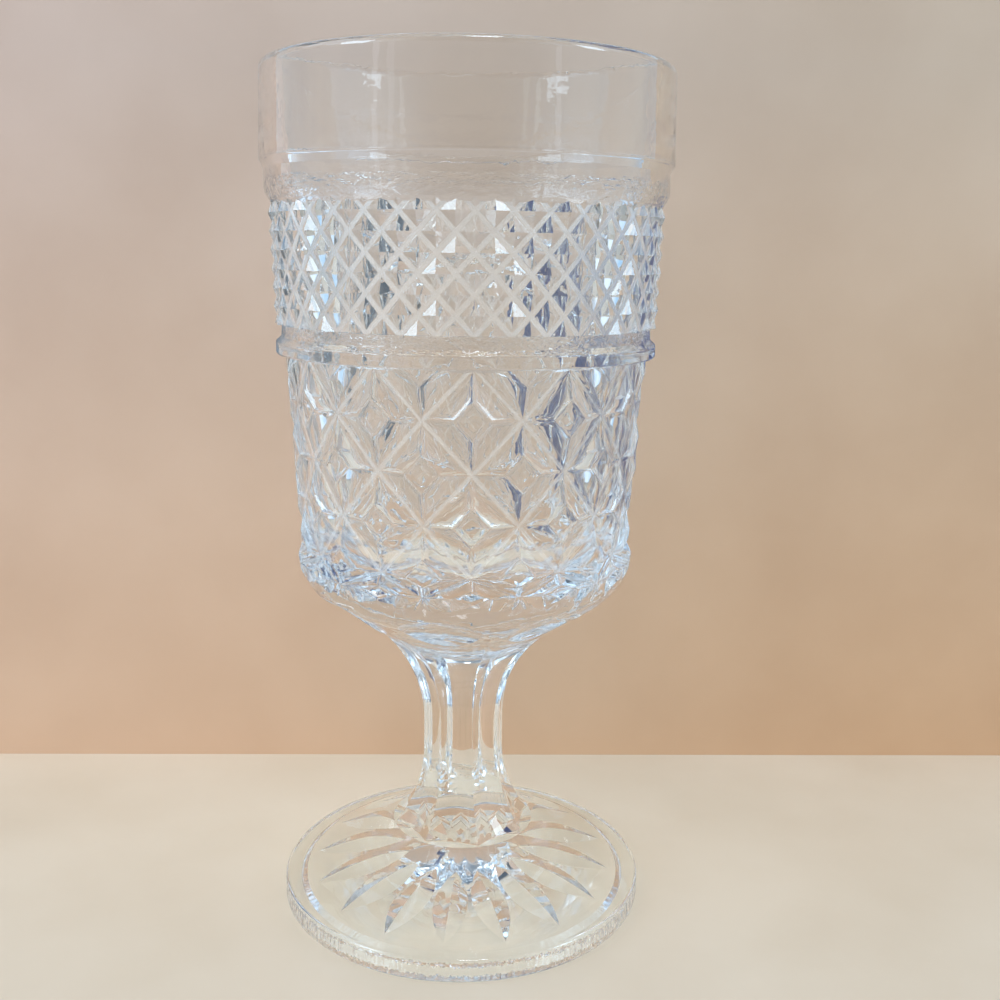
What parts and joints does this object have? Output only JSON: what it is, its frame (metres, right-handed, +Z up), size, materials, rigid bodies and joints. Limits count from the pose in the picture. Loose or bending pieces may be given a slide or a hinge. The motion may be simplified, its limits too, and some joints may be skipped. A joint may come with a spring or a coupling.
{
  "type": "water goblet",
  "caption": "Stemmed water goblet of clear pressed glass, with a plain collar, a diamond belt, a star lattice, a fluted stem and a rayed foot.",
  "frame": {"origin": "on the table, at the middle of the foot's resting ring", "axes": "+Z up along the goblet's axis, from the foot to the rim; -Y faces the picture's camera"},
  "size_m": [0.079, 0.079, 0.168],
  "materials": {
    "foot_glass": "clear pressed soda-lime glass, fire-polished, finely stippled on the side wall",
    "stem_glass": "clear pressed soda-lime glass, fire-polished",
    "bowl_glass": "clear pressed soda-lime glass, fire-polished, with sharp pressed facets"
  },
  "bodies": {
    "root": {"foot": "foot_glass", "stem": "stem_glass", "bowl": "bowl_glass"}
  },
  "joints": []
}
